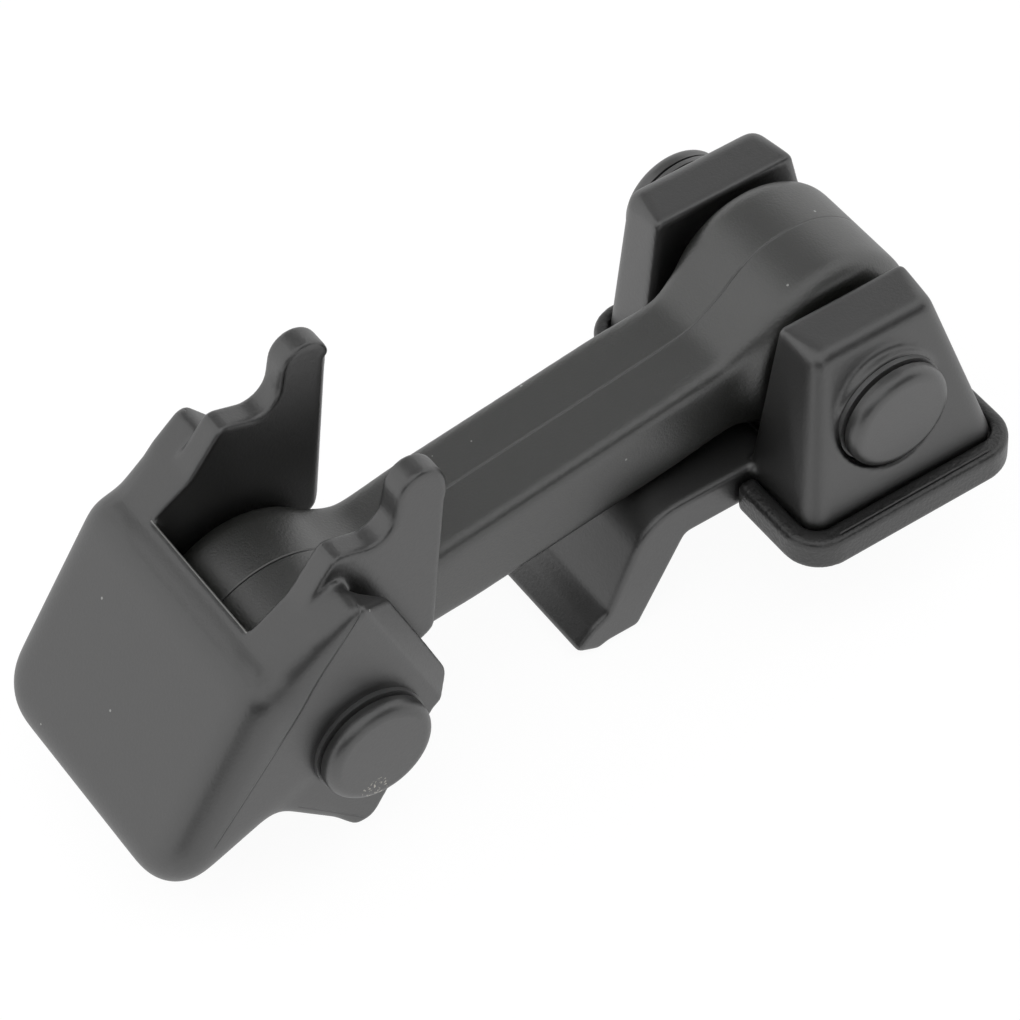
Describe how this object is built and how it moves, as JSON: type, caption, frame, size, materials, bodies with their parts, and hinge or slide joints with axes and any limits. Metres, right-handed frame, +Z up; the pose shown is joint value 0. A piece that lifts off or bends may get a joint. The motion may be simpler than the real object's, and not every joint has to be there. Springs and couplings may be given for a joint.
{
  "type": "hood hold-down latch",
  "caption": "Hood hold-down latch in black moulded plastic: a twin-tower hinge bracket, a rubber strap and a pivoting grip handle with two hooked claws.",
  "frame": {"origin": "middle of the two-insert pattern on the bracket's underside, straight below the base pin", "axes": "+Z up from the mounting face, the strap runs towards -X at rest, both pins lie along Y"},
  "size_m": [0.147, 0.0633, 0.0617],
  "materials": {
    "moulded": "moulded black, fine even grain",
    "frame": "moulded black, slightly coarser grain",
    "head": "moulded black, fine even grain, light scuffs",
    "washer": "moulded black",
    "strap": "moulded rubber with a parting line",
    "pin": "turned steel",
    "insert": "turned brass"
  },
  "bodies": {
    "base": {"base_bracket": "moulded", "base_frame": "frame", "near_insert": "insert", "far_insert": "insert", "base_pin": "pin", "base_near_head": "head", "base_far_head": "head", "base_near_washer": "washer", "base_far_washer": "washer"},
    "strap": {"strap": "strap", "strap_base_sleeve": "pin", "strap_handle_sleeve": "pin"},
    "handle": {"handle": "moulded", "handle_pin": "pin", "handle_near_head": "head", "handle_far_head": "head", "handle_near_washer": "washer", "handle_far_washer": "washer"}
  },
  "joints": [
    {"name": "strap_pivot", "type": "hinge", "parent": "base", "child": "strap", "pos_m": [0, 0, 0.019], "axis": [0, 1, 0], "range_deg": [0, 150]},
    {"name": "handle_pivot", "type": "hinge", "parent": "strap", "child": "handle", "pos_m": [-0.09121, 0, 0.00699], "axis": [0, 1, 0], "range_deg": [-140, 80]}
  ]
}
